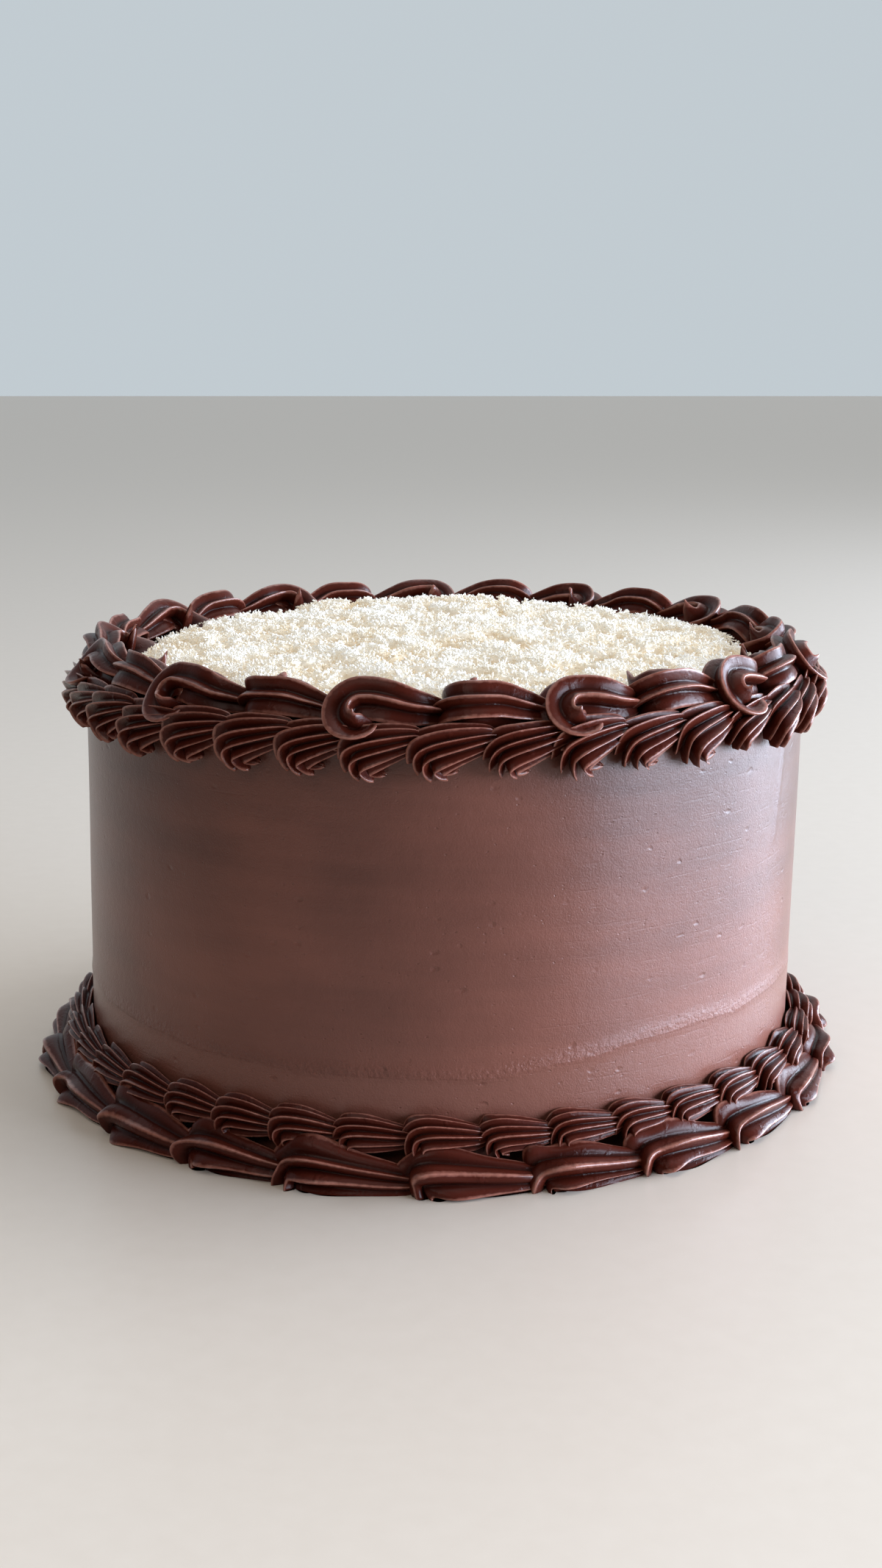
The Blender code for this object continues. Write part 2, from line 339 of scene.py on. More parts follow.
def shell_sheet(rng, pitch, overlap, head, tail, tail_up, drop, swing, edges, depth, lean, hook,
                sharp=1.3, lobed=0.15, dense=8, rows=30, curl=1.42, front=0.36, flare=0.12,
                spread=0.62, ripple=0.02):
    """Points (along, up, out) of one shell: its head at 0, its tail past the next head.

    head and tail are the sizes of the section at either end, drop and tail_up its heights
    there. swing turns the head down and curl rolls it forward, both in radians.
    """
    across, height, crest = fins_across(edges, dense, sharp, lobed)
    wave = 1.0 + 0.07 * np.interp(across, np.linspace(0, math.pi, 7), rng.uniform(-1, 1, 7))
    phase = np.interp(across, np.linspace(0, math.pi, len(edges)), rng.uniform(0, 6.3, len(edges)))
    start = np.array([pitch + overlap, tail_up])
    stop = np.array([front * pitch, drop])
    sheet, crests = [], []
    for s in np.linspace(0.0, 1.0, rows) ** 0.9:
        # How far the shell has grown, which gives its centre and its size.
        gone = math.sin(0.5 * math.pi * min(1.0, s / FULL_AT))
        centre = start + (stop - start) * np.array([gone, gone ** 1.3])
        size = tail + (head - tail) * ((1.0 - flare) * gone ** spread + flare * s ** 3)
        # The section swings down and rolls over as it nears the head.
        turn = swing * s ** 2.3
        roll = curl * max(0.0, (s - ROLL_FROM) / (1.0 - ROLL_FROM)) ** 1.7
        normal = np.array([-math.sin(turn), math.cos(turn)])
        forward = np.array([-math.cos(turn), -math.sin(turn)])
        # The grooves get deeper, and the fins lean and flutter.
        groove = depth * (0.5 + 0.5 * gone) * (1.0 - 0.1 * s)
        tip = across + lean * height * s
        flutter = 1.0 + ripple * height * np.sin(phase + 13.0 * s) * gone
        reach = size * (1.0 - groove * (1.0 - height)) * wave * flutter
        # The points themselves, with hooked ends on the fins.
        out = np.sin(tip) * reach
        base = centre + (np.cos(tip) * reach)[:, None] * normal
        base = base + (out * math.sin(roll))[:, None] * forward
        base = base + (hook * height * ease(s, HOOK_FROM, 1.0))[:, None] * HOOK_WAY
        sheet.append(np.column_stack([base, out * math.cos(roll)]))
        crests.append(crest)
    under = sheet[-1].copy()
    under[:, :2] = stop + (under[:, :2] - stop) * 0.9
    under[:, 2] = -1.0
    sheet.append(under)
    # Half the crest gives the tucked-under row the darker groove browns: painted shade under the
    # head.
    crests.append(crest * 0.5)
    return np.array(sheet), np.array(crests)


print("a shell is at its full size", FULL_AT, "of the way from its tail")

# %% [markdown]
# A shell is shaped along a straight line. Setting it on the cake wraps that line round the
# wall and stands the shell on a slope, so one shape serves the top edge and the foot.

# %% Setting a shell on the cake
def set_on_cake(sheet, head, ring, height, tilt):
    """Stand a shell's sheet on a slope: tilt 0 is the wall, 90 degrees is flat on the top."""
    along, up, out = sheet[..., 0], sheet[..., 1], sheet[..., 2]
    slope = math.radians(tilt)
    radius = ring + out * math.cos(slope) - up * math.sin(slope)
    level = height + out * math.sin(slope) + up * math.cos(slope)
    return round_cake(radius, level, head + np.degrees(along / ring))


standing_out = set_on_cake(np.array([0.0, 0.0, 5.0]), head=0.0, ring=WALL, height=108.0, tilt=14.0)
print("a point 5 mm out from the top edge:", np.round(standing_out, 4))

# %% [markdown]
# ## The shells on the top edge of the wall
# These hang from the edge: their fins spread down the wall and end in little hooks.
# Each differs a little in length, swing and fin height, as a hand never repeats itself.

# %% Upper shells
def upper_border():
    rng = np.random.RandomState(5)
    heads = heads_of(count=38, phase=-4.4, spread=0.8, seed=21)
    sheets = []
    for start, end in zip(heads, heads[1:]):
        size = rng.uniform(0.93, 1.06)
        sheet, crest = shell_sheet(
            rng, pitch=math.radians(end - start) * 103.0, overlap=3.0, head=7.6 * size, tail=2.2,
            tail_up=2.2, drop=-0.9 * size, swing=math.radians(rng.uniform(46, 64)),
            edges=even_fins(6, rng), depth=rng.uniform(0.54, 0.64), lean=rng.uniform(0.06, 0.24),
            hook=rng.uniform(0.3, 1.4))
        level = 108.3 + rng.uniform(-0.5, 0.5)
        sheets.append((set_on_cake(sheet, start, ring=100.6, height=level, tilt=14.0), crest))
    return join_grids("upper_shell_border", sheets)


upper = upper_border()

# %% [markdown]
# ## The shells above the foot
# The same tip, but they lie in the corner between the wall and the large shells, so they
# face half outwards and half up, and their fans open more evenly.

# %% Lower shells
def lower_border():
    rng = np.random.RandomState(8)
    heads = heads_of(count=38, phase=-5.0, spread=0.8, seed=22)
    sheets = []
    for start, end in zip(heads, heads[1:]):
        size = rng.uniform(0.92, 1.06)
        sheet, crest = shell_sheet(
            rng, pitch=math.radians(end - start) * 103.0, overlap=3.0, head=6.2 * size, tail=2.2,
            tail_up=-0.4, drop=0.2, swing=math.radians(rng.uniform(32, 60)),
            edges=even_fins(6, rng), depth=rng.uniform(0.50, 0.60), lobed=0.5, curl=1.5,
            lean=rng.uniform(0.0, 0.18), hook=rng.uniform(0.0, 0.8), ripple=0.03)
        sheets.append((set_on_cake(sheet, start, ring=102.6, height=11.7, tilt=36.0), crest))
    return join_grids("lower_shell_border", sheets)


lower = lower_border()

# %% [markdown]
# ## The large shells at the foot
# A wider tip with few teeth leaves one broad smooth lobe and some deep fins, which flutter
# as the bag is pulled and curl where they meet the surface that the cake stands on. The
# shells are highest at the head and thin towards the tail, and none goes below that surface.

# %% Foot shells
WIDE_TIP = np.array([0.0, 0.42, 0.66, 0.84, 1.0])


def foot_border():
    rng = np.random.RandomState(13)
    heads = heads_of(count=23, phase=-6.2, spread=1.0, seed=23)
    sheets = []
    for start, end in zip(heads, heads[1:]):
        size = rng.uniform(0.90, 1.05)
        edges = WIDE_TIP.copy()
        edges[1:-1] += rng.uniform(-0.06, 0.06, 3)
        sheet, crest = shell_sheet(
            rng, pitch=math.radians(end - start) * 108.0, overlap=6.0, head=8.3 * size, tail=2.7,
            tail_up=-1.7, drop=0.6, swing=math.radians(rng.uniform(26, 62)), edges=edges,
            depth=rng.uniform(0.40, 0.54), sharp=1.1, lobed=0.45, dense=14, rows=34, curl=1.5,
            lean=rng.uniform(0.08, 0.30), hook=rng.uniform(0.4, 1.8), front=0.28, flare=-0.16,
            spread=0.72, ripple=rng.uniform(0.09, 0.17))
        shell = set_on_cake(sheet, start, ring=106.4, height=2.9, tilt=44.0)
        shell[..., 2] = np.maximum(shell[..., 2], 0.0)
        sheets.append((shell, crest))
    return join_grids("foot_shell_border", sheets)


foot = foot_border()

# %% [markdown]
# ## The scrolls
# On the top edge the tip circles while it presses: a rope rises on one side, turns over
# and runs out to a tail, and the next one circles the other way. A curve with a round bevel
# would have no fins, so the whole star is swept along a loop whose axis leans outwards for
# one scroll and inwards for the next. The two kinds differ only in numbers, so they are two
# tables. A row of turns gives the angle on the loop, the share of its radius and the share
# of the rope's; a row of the tail gives a point (along, out, up) and the share of the rope's.

# %% Scroll tables
OUTWARD = {
    "tilt": 38.0, "out": 3.7, "up": 2.0, "loop": 5.2, "rope": 7.0, "opened": 0.55,
    "turns": ((-128, 0.62, 0.45), (-98, 0.82, 0.66), (-66, 0.96, 0.86), (-34, 1.0, 0.98),
              (0, 1.0, 1.0), (34, 1.0, 1.0), (68, 1.0, 1.0), (102, 1.02, 0.98)),
    "tail": ((16.6, 1.2, 5.4, 0.92), (21.0, 0.9, 4.2, 0.80), (25.5, -0.6, 3.2, 0.62),
             (30.5, -2.6, 2.2, 0.36))}
INWARD = {
    "tilt": 56.0, "out": -1.0, "up": 2.7, "loop": 5.0, "rope": 7.1, "opened": 0.85,
    "turns": ((-88, 0.92, 0.58), (-66, 0.98, 0.80), (-42, 1.0, 0.94), (-14, 1.0, 1.0),
              (12, 1.0, 1.0), (38, 1.0, 1.0), (66, 1.0, 1.0), (94, 1.02, 0.97)),
    "tail": ((16.0, 2.4, 5.2, 0.90), (20.5, 2.2, 4.2, 0.78), (25.0, 2.0, 3.2, 0.60),
             (30.0, 2.6, 2.2, 0.36))}
print("points of a scroll's line:", len(INWARD["turns"]) + len(INWARD["tail"]))

# %% [markdown]
# The few points of a table become a smooth line. A Bezier curve object could do that too,
# but its points would have to be read back; a cubic in a few lines gives them at once.

# %% Centre line of a scroll
PIVOT_ALONG = 10.2
STATIONS = 52


def smooth_through(places, values, wanted):
    """Cubic curve through values, with slopes taken from the neighbours."""
    slope = np.gradient(values, places)
    i = np.clip(np.searchsorted(places, wanted) - 1, 0, len(places) - 2)
    step = places[i + 1] - places[i]
    t = (wanted - places[i]) / step
    return ((2 * t ** 3 - 3 * t ** 2 + 1) * values[i] + (t ** 3 - 2 * t ** 2 + t) * step * slope[i]
            + (3 * t ** 2 - 2 * t ** 3) * values[i + 1] + (t ** 3 - t ** 2) * step * slope[i + 1])


def scroll_line(kind, side, size, rng):
    """Centre line, rope radius and loop axis, as (along, out, up) points for one scroll."""
    tilt = math.radians(kind["tilt"] + rng.uniform(-5.0, 5.0))
    left = np.array([-1.0, 0.0, 0.0])
    over = np.array([0.0, -side * math.sin(tilt), math.cos(tilt)])
    axis = np.array([0.0, side * math.cos(tilt), math.sin(tilt)])
    pivot = np.array([PIVOT_ALONG, kind["out"], kind["up"]])
    knots, ropes = [], []
    for degrees, loop, rope in kind["turns"]:
        turn = math.radians(degrees)
        arm = left * math.cos(turn) + over * math.sin(turn)
        knots.append(pivot + kind["loop"] * size * loop * arm)
        ropes.append(kind["rope"] * rope * size)
    for along, out, up, rope in kind["tail"]:
        knots.append(np.array([along, out, up]))
        ropes.append(kind["rope"] * rope)
    knots = np.array(knots)
    lengths = np.linalg.norm(np.diff(knots, axis=0), axis=1)
    reach = np.concatenate([[0.0], np.cumsum(lengths)])
    fine = np.linspace(0.0, reach[-1], STATIONS)
    line = np.column_stack([smooth_through(reach, knots[:, i], fine) for i in range(3)])
    return line, smooth_through(reach, np.array(ropes), fine), axis


print("stations along a scroll:", STATIONS)

# %% [markdown]
# The star is swept along that line. It keeps its face to the loop's axis, so the fins stay
# in step, and at the start it stands open, where the tip first touched the cake.

# %% Sweeping a scroll
FINS = 6
START_ROWS = 12.0


def scroll_sheet(rng, side, size):
    """Points (along, out, up) and crest of one scroll: side 1 leans outwards, -1 inwards."""
    kind = OUTWARD if side > 0 else INWARD
    line, ropes, axis = scroll_line(kind, side, size, rng)
    # The rope's own directions at each station.
    ahead = np.gradient(line, axis=0)
    ahead /= np.linalg.norm(ahead, axis=1)[:, None]
    across = axis - ahead * (ahead @ axis)[:, None]
    across /= np.linalg.norm(across, axis=1)[:, None]
    outer = np.cross(across, ahead) * side
    # One whole star, flatter on the side that lies against the loop's middle.
    edges = np.linspace(0.0, 2.0, FINS + 1) - 1.0 / FINS
    edges[1:-1] += rng.uniform(-0.12, 0.12, FINS - 1) / FINS
    turn, height, crest = [part[:-1] for part in fins_across(edges, dense=11, sharp=1.15)]
    depth = rng.uniform(0.47, 0.56)
    shape = (1.0 - depth * (1.0 - height)) * (1.0 + 0.25 * np.minimum(0.0, np.cos(turn)))
    # It twists a little along the rope, and its fins spread wide over the first rows.
    twist = np.linspace(rng.uniform(-0.3, 0.3), rng.uniform(-0.2, 0.2), len(line))
    tip = turn[None] + rng.uniform(0.05, 0.22) * height[None] + twist[:, None]
    opened = kind["opened"] * (1.0 - ease(np.arange(len(line)), 0.0, START_ROWS))
    reach = ropes[:, None] * shape * (1.0 + opened[:, None] * (2.0 * height[None] - 0.6))
    sheet = (line[:, None, :] + (reach * np.cos(tip))[..., None] * outer[:, None, :]
             + (reach * np.sin(tip))[..., None] * across[:, None, :])
    first = np.repeat(line[:1, None, :] - ahead[:1, None, :] * 1.5, len(turn), axis=1)
    sheet = np.concatenate([first, sheet], axis=0)
    # The cap at the rope's start gets 0.4 of the crest, so it takes darker browns: painted shade.
    return sheet, np.concatenate([crest[None] * 0.4, np.repeat(crest[None], len(line), axis=0)])


print("fins round a scroll:", FINS)

# %% [markdown]
# Twenty-four scrolls stand on the top, outward and inward by turns. Soft icing flattens on
# what it lies on, so points that would sink into the cake are lifted onto it: level with the
# top inside the wall, and up to 4 mm lower where a scroll hangs over the edge.

# %% Scrolls
SCROLL_RING = 93.5
HIGHEST = 124.6
OVERHANG = 4.0


def scroll_border():
    rng = np.random.RandomState(3)
    heads = heads_of(count=24, phase=-3.0, spread=0.7, seed=24)[:-1]
    sheets = []
    for i, head in enumerate(heads):
        sheet, crest = scroll_sheet(rng, 1 if i % 2 else -1, rng.uniform(0.90, 1.03))
        degrees = head + np.degrees(sheet[..., 0] / SCROLL_RING)
        radius = SCROLL_RING + sheet[..., 1]
        lowest = TOP - 1.0 - OVERHANG * ease(radius, 97.5, 102.5)
        level = np.clip(TOP + 0.3 + sheet[..., 2], lowest, HIGHEST)
        sheets.append((round_cake(radius, level, degrees), crest))
    return join_grids("scroll_border", sheets, closed=True)


scrolls = scroll_border()

# %% [markdown]
# Each border takes the place of the solid that held its room, and rides on the cake.

# %% Borders in place
def dress(piece, node, material):
    """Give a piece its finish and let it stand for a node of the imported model."""
    piece.data.materials.append(material)
    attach(piece, "root")
    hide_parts(node)
    print(piece.name, "stands for", node)


dress(upper, "upper_shells", PIPED)
dress(lower, "lower_shells", PIPED)
dress(foot, "base_shells", PIPED)
dress(scrolls, "top_scrolls", PIPED)

# %% [markdown]
# ## The wall
# Icing smoothed with a scraper looks even, but it swells a little, and where the last pass
# ended it keeps a faint step that climbs to the right, with torn icing above it. Where the
# scraper was lifted off, a thin upright seam stays. A plain cylinder would show none of
# these, so the wall is a fine grid that carries them in its radius. First come its rows.

# %% Rows of the wall
ROW_STEP = 1.1
EDGE_ROUND = 5.0


def wall_profile():
    """(radius, height) from the middle of the foot up the wall and in over the top."""
    profile = [(0.5, 0.0), (60.0, 0.0)]
    profile += [(WALL, z) for z in np.arange(0.0, TOP - EDGE_ROUND, ROW_STEP)]
    for turn in np.radians([0, 15, 30, 45, 60, 75, 90]):
        profile.append((WALL - EDGE_ROUND * (1 - math.cos(turn)),
                        TOP - EDGE_ROUND + EDGE_ROUND * math.sin(turn)))
    return np.array(profile + [(88.0, TOP), (78.0, TOP)])


print("rows of the wall:", len(wall_profile()))

# %% [markdown]
# The step climbs a few millimetres to the right and falls again round the back. It wavers
# as it goes, and in places it nearly fades away: slow noise round the wall does both.

# %% Step in the icing
STEP_LEVEL = 25.5


def step_height(degrees):
    """Height of the line where the last pass of the scraper ended, round the cake."""
    front = ((degrees + 180.0) % 360.0) - 180.0
    right = 5.5 * ease(front, 4.0, 34.0) - 4.0 * ease(front, 60.0, 140.0)
    return STEP_LEVEL + right + 2.0 * ease(-front, 10.0, 90.0)


def along_wall(degrees, pace, row):
    """Slow noise round the wall, a different one for each row."""
    return np.array([noise.noise(Vector((a * pace, row, 0.0))) for a in degrees])


print("step at the front", step_height(0.0), "and at the right", step_height(60.0))

# %% [markdown]
# The wall's radius is then a sum: a slow swell, a little more icing below the step, the
# ridge of torn icing along it and the seam. Each is a fraction of a millimetre.

# %% Iced wall
COLUMNS = 480
INSET, SWELL, BELOW_STEP, STEP_RIDGE, SEAM_RIDGE = 0.35, 0.22, 0.10, 0.20, 0.3
SEAM_AT, SEAM_LEAN, SEAM_HALF_WIDTH = 60.0, 0.11, 0.6


def iced_wall():
    degrees = np.arange(COLUMNS) * 360.0 / COLUMNS
    profile = wall_profile()
    radius = np.repeat(profile[:, :1], COLUMNS, axis=1)
    height = np.repeat(profile[:, 1:], COLUMNS, axis=1)
    # Noise read along a circle closes without a seam.
    circle = [(3.0 * math.sin(math.radians(a)), 3.0 * math.cos(math.radians(a))) for a in degrees]
    swell = np.array([[noise.noise(Vector((x, y, z * 0.02))) for x, y in circle]
                      for z in profile[:, 1]])
    line = np.array([step_height(a) for a in degrees]) + 1.2 * along_wall(degrees, 0.11, 2.0)
    fade = 0.35 + 0.65 * ease(along_wall(degrees, 0.035, 5.0), -0.2, 0.3)
    below = ease(line[None] - height, -5.0, 1.2)
    ridge = np.exp(-((height - line[None]) / 1.1) ** 2) * fade[None]
    seam_line = SEAM_AT + SEAM_LEAN * (height - 72.0)
    seam = np.exp(-((degrees[None] - seam_line) / SEAM_HALF_WIDTH) ** 2)
    seam = seam * ease(height, 70.0, 75.0) * (1.0 - ease(height, 98.0, 103.0))
    radius = radius - INSET + SWELL * np.clip(swell, -1.0, 1.0)
    radius = radius + BELOW_STEP * below + STEP_RIDGE * ridge + SEAM_RIDGE * seam
    points = round_cake(radius, height, degrees[None, :])
    return join_grids("iced_wall", [(points, below)], closed=True)


wall = iced_wall()

# %% [markdown]
# ## Smooth icing: the finish
# Air bubbles in the icing burst under the scraper and leave small round pits, many in one
# patch and none in the next. Noise alone gives no round spots, so each is a Voronoi cell,
# and the cell's own random colour picks which cells burst.

# %% Burst bubbles
def pitted(mix, place, scale, rarity):
    """Burst bubbles: 1 inside a pit, 0 elsewhere, in patches that get rarer with rarity."""
    cells = mix.node("TexVoronoi", "Distance", Vector=place, Scale=scale)
    pick = mix.node("TexVoronoi", "Color", Vector=place, Scale=scale)
    chance = mix.spots(scale=28.0, detail=2.0) + mix.node("SeparateColor", "Red", Color=pick)
    patch = mix.steps(chance, rarity, rarity + 0.1)
    return (1.0 - mix.steps(cells, 0.03, 0.20)) * patch


print("pits ready")

# %% [markdown]
# The brown clouds where the scraper pressed more or less, and streaks round the cake. The
# colour is also painted paler towards the foot and darker higher up: painted light and shade.
# On the wall mesh the crest number is 0 above the step and 1 below it, so it marks the evenly
# pale band there.

# %% Browns of the wall
DARK_BROWN = (0.050, 0.0105, 0.0055, 1.0)
PALE_BROWN = (0.205, 0.0680, 0.0460, 1.0)
BAND_BROWN = (0.190, 0.0680, 0.0470, 1.0)


def icing_brown(mix, crest, cloud):
    """The colour (clouds and streaks, with painted light that makes it paler low down) and where
    the band below the step is.
    """
    drag = mix.stretched((14.0, 14.0, 110.0))
    streak = mix.node("TexNoise", Vector=drag, Scale=1.0, Detail=4.0)
    height = mix.node("SeparateXYZ", "Z", Vector=mix.place())
    # Painted light and shade: paler towards the foot, darker higher up.
    painted_light_low_down = 1.0 - mix.steps(height, 0.025, 0.105)
    tone = mix.steps(cloud * 0.7 + streak * 0.3, 0.36, 0.64) * 0.55 + painted_light_low_down * 0.45
    band = mix.steps(crest, 0.80, 1.0)
    return mix.blend(band * 0.6, mix.blend(tone, DARK_BROWN, PALE_BROWN), BAND_BROWN), band


print("browns ready")

# %% [markdown]
# The finish itself is satin: a soft coat over a rougher skin. Bumps of several sizes stack
# on each other, from fine grain to torn icing at the step, scratches and pits, because a
# scraped wall catches the light at all of these sizes.

# %% Smooth icing material
def smooth_icing():
    material, mix = new_recipe("smooth_icing", IOR=1.45, Specular_IOR_Level=0.34,
                               Coat_Weight=0.45, Coat_Roughness=0.32)
    crest = mix.crest()
    cloud = mix.spots(scale=15.0, detail=4.0)
    brown, band = icing_brown(mix, crest, cloud)
    mix.set(Base_Color=brown, Roughness=0.30 + cloud * 0.10 - band * 0.03)
    torn = mix.steps(crest, 0.03, 0.5) - mix.steps(crest, 0.85, 1.0)
    wobble = (mix.spots(scale=260.0, detail=2.0) - 0.5) * 0.0028
    squat = mix.stretched((1.0, 1.0, 1.7), Location=wobble)
    pits = pitted(mix, squat, 150.0, 1.17) * 0.8 + pitted(mix, squat, 430.0, 1.16) * 0.5
    flat = mix.stretched((50.0, 50.0, 900.0))
    scratch = mix.steps(mix.node("TexNoise", Vector=flat, Scale=1.0, Detail=3.0), 0.60, 0.74)
    skin = mix.bump(mix.spots(scale=2300.0, detail=4.0), distance=0.00018, strength=0.6)
    grain = mix.spots(scale=420.0, detail=3.0)
    skin = mix.bump(grain, distance=0.00030, strength=0.35, Normal=skin)
    rough = mix.spots(scale=800.0, detail=4.0) * torn
    skin = mix.bump(rough, distance=0.0006, strength=0.7, Normal=skin)
    skin = mix.bump(1.0 - scratch, distance=0.00010, strength=0.4, Normal=skin)
    mix.set(Normal=mix.bump(1.0 - pits, distance=0.00045, strength=0.6, Normal=skin))
    return material


dress(wall, "cake", smooth_icing())

# %% [markdown]
# ## The coconut
# Fine shredded coconut heaps up unevenly inside the border. One bumpy disc would look like
# plaster, and hair particles don't export, so a lumpy bed lies underneath, and on it lie
# thousands of short shreds and crumbs at their true size, each turned its own way. All of
# them follow one map of where the coconut lies thick, so that heaps and hollows agree.

# %% Where the coconut lies
BED = 85.2
RIM_LEVEL = 114.8


def clump(x, y):
    """How thickly coconut lies at a spot: 0 where the bed shows, 1 on top of a heap."""
    wide = noise.noise(Vector((x, y, 4.0)) / 11.0)
    small = noise.noise(Vector((x, y, 8.0)) / 3.8)
    fine = noise.noise(Vector((x, y, 9.0)) / 1.9)
    return float(ease(0.52 + 0.55 * wide + 0.65 * small + 0.4 * fine, 0.12, 0.84))


def bed_height(x, y):
    """A low dome with lumps, a rise and a small heap at the back, and a rounded rim."""
    reach = math.hypot(x, y) / BED
    dome = 2.4 * (1.0 - reach ** 2) + 1.2 * noise.noise(Vector((x, y, 3.0)) / 20.0)
    heap = 1.6 * math.exp(-((x - 8.0) ** 2 + (y - 66.0) ** 2) / 90.0)
    back = 1.7 * ease(y, 46.0, 74.0)
    rim = 1.9 * ease(reach, 0.93, 1.01)
    return RIM_LEVEL + dome + 2.3 * clump(x, y) + heap + back - rim


print("height at the middle:", round(float(bed_height(0.0, 0.0)), 2), "mm")

# %% [markdown]
# The bed itself is a round grid whose rings lie closer together towards the rim, where the
# camera sees it most. Its last ring goes straight down, so the edge has a side.

# %% Coconut bed
BED_RINGS = 62
BED_COLUMNS = 288


def coconut_bed():
    radii = np.linspace(0.0, 1.0, BED_RINGS) ** 0.8 * BED
    degrees = np.arange(BED_COLUMNS) * 360.0 / BED_COLUMNS
    grid = np.zeros((BED_RINGS + 1, BED_COLUMNS, 3))
    thick = np.zeros((BED_RINGS + 1, BED_COLUMNS))
    for i, radius in enumerate(radii):
        for j, angle in enumerate(np.radians(degrees)):
            x, y = radius * math.sin(angle), -radius * math.cos(angle)
            z = bed_height(x, y) + 0.4 * noise.noise(Vector((x, y, 0.0)) / 1.5)
            grid[i, j] = (x + LEAN * z, y, z)
            thick[i, j] = clump(x, y)
    grid[BED_RINGS] = grid[BED_RINGS - 1]
    grid[BED_RINGS, :, 2] = TOP
    return join_grids("coconut_mound", [(grid * MM, thick)], closed=True)


bed = coconut_bed()

# %% [markdown]
# Loose pieces fall anywhere, but more stay where the coconut lies thick, which leaves the
# tan hollows of the real thing. A scatter by geometry nodes would do, but here the same map
# of thick and thin places both picks the spots and tints the pieces.

# %% Scattering
BARE_SHARE = 0.16


def scatter_spots(wanted, seed, reach):
    """Spots on the bed; where it lies bare, only a share of them stays."""
    rng = np.random.RandomState(seed)
    spots = []
    while len(spots) < wanted:
        radius = reach * math.sqrt(rng.uniform())
        angle = rng.uniform(0.0, 2.0 * math.pi)
        x, y = radius * math.sin(angle), -radius * math.cos(angle)
        if rng.uniform() < BARE_SHARE + (1.0 - BARE_SHARE) * clump(x, y):
            spots.append((x, y))
    x, y = np.array(spots).T
    return x, y, rng


def tint(x, y, rng):
    """0 tan to 1 white for each piece: whiter where the coconut lies thick."""
    thick = np.array([clump(a, b) for a, b in zip(x, y)])
    return np.clip(0.9 * thick + rng.uniform(-0.15, 0.35, len(x)), 0.0, 1.0)


print("thickness of the coconut at its middle:", round(clump(0.0, 0.0), 2))

# %% [markdown]
# Each loose piece gets its own frame of three directions, so that whole arrays of pieces
# can be built at once, and all of one kind are laid down as one mesh.

# %% Turning and laying pieces
def piece_frames(rng, count, spread):
    """Random frames: a long axis that lies near level, and two across it."""
    heading = rng.uniform(0.0, 2.0 * math.pi, count)
    pitch = rng.normal(0.0, spread, count)
    along = np.stack([np.cos(heading) * np.cos(pitch), np.sin(heading) * np.cos(pitch),
                      np.sin(pitch)], -1)
    side = np.stack([-np.sin(heading), np.cos(heading), 0.0 * heading], -1)
    up = np.cross(along, side)
    roll = rng.uniform(0.0, 2.0 * math.pi, count)[:, None]
    across = side * np.cos(roll) + up * np.sin(roll)
    return along, across, up * np.cos(roll) - side * np.sin(roll)


def lay_down(name, points, faces, shade):
    """One mesh from many small ones: faces of one piece are repeated for all of them."""
    count, corners = points.shape[:2]
    faces = np.array(faces)[None] + corners * np.arange(count)[:, None, None]
    points[..., 0] += LEAN * points[..., 2]
    return mesh_object(name, points.reshape(-1, 3) * MM, faces.reshape(-1, faces.shape[-1]),
                       np.repeat(shade, corners))


print("loose pieces lean by", LEAN, "like the cake")

# %% [markdown]
# A shred is a bent sliver, thicker in the middle. Three sides and three rings are enough at
# this size, and keep twelve thousand of them light.

# %% Shreds
def shreds():
    count = 12500
    x, y, rng = scatter_spots(count, seed=31, reach=BED + 0.6)
    along, side, up = piece_frames(rng, count, spread=0.6)
    length = rng.uniform(0.8, 2.6, count)
    width = rng.uniform(0.35, 0.9, count)
    bend = rng.normal(0.0, 0.35, count)
    z = np.array([bed_height(a, b) for a, b in zip(x, y)]) + rng.uniform(0.1, 0.9, count)
    centre = np.stack([x, y, z], -1)
    rings = []
    for step, scale in ((-0.5, 0.45), (0.0, 1.0), (0.5, 0.4)):
        bow = (bend * length * (0.25 - step ** 2))[:, None]
        spine = centre + along * (length * step)[:, None] + up * bow
        for corner in range(3):
            turn = 2.0 * math.pi * corner / 3
            reach = (0.5 * width * scale)[:, None]
            rings.append(spine + reach * (side * math.cos(turn) + 0.6 * up * math.sin(turn)))
    faces = []
    for ring in (0, 3):
        for corner in range(3):
            following = (corner + 1) % 3
            faces.append((ring + corner, ring + following, ring + 3 + following,
                          ring + 3 + corner))
    return lay_down("coconut_shreds", np.stack(rings, 1), faces, tint(x, y, rng))


shred_piece = shreds()

# %% [markdown]
# Between the shreds lie broken bits. A crumb is a lump with six corners, each pushed in or
# out a little, so no two are alike.

# %% Crumbs
def crumbs():
    count = 21000
    x, y, rng = scatter_spots(count, seed=32, reach=BED + 1.2)
    along, side, up = piece_frames(rng, count, spread=1.2)
    size = rng.uniform(0.22, 0.66, count)[:, None]
    z = np.array([bed_height(a, b) for a, b in zip(x, y)]) + rng.uniform(0.1, 1.1, count)
    centre = np.stack([x, y, z], -1)
    corners = []
    for direction, sign in ((along, 1), (side, 1), (along, -1), (side, -1), (up, 1), (up, -1)):
        corners.append(centre + sign * direction * size * rng.uniform(0.5, 1.2, count)[:, None])
    around = [(0, 1), (1, 2), (2, 3), (3, 0)]
    faces = [(a, b, 4) for a, b in around] + [(b, a, 5) for a, b in around]
    return lay_down("coconut_crumbs", np.stack(corners, 1), faces, tint(x, y, rng))


crumb_piece = crumbs()

# %% [markdown]
# ## Coconut: the finish
# Coconut is white with a little tan, more so in the hollows: here the crest number is 0 for
# tan and 1 for white. It is rough, and so thin that light from all round gets into it. The
# shader's own scattering turns grainy on thousands of crossing pieces, so a faint warm glow
# stands for that light.

# %% Coconut materials
GLOW = (1.0, 0.93, 0.81, 1.0)


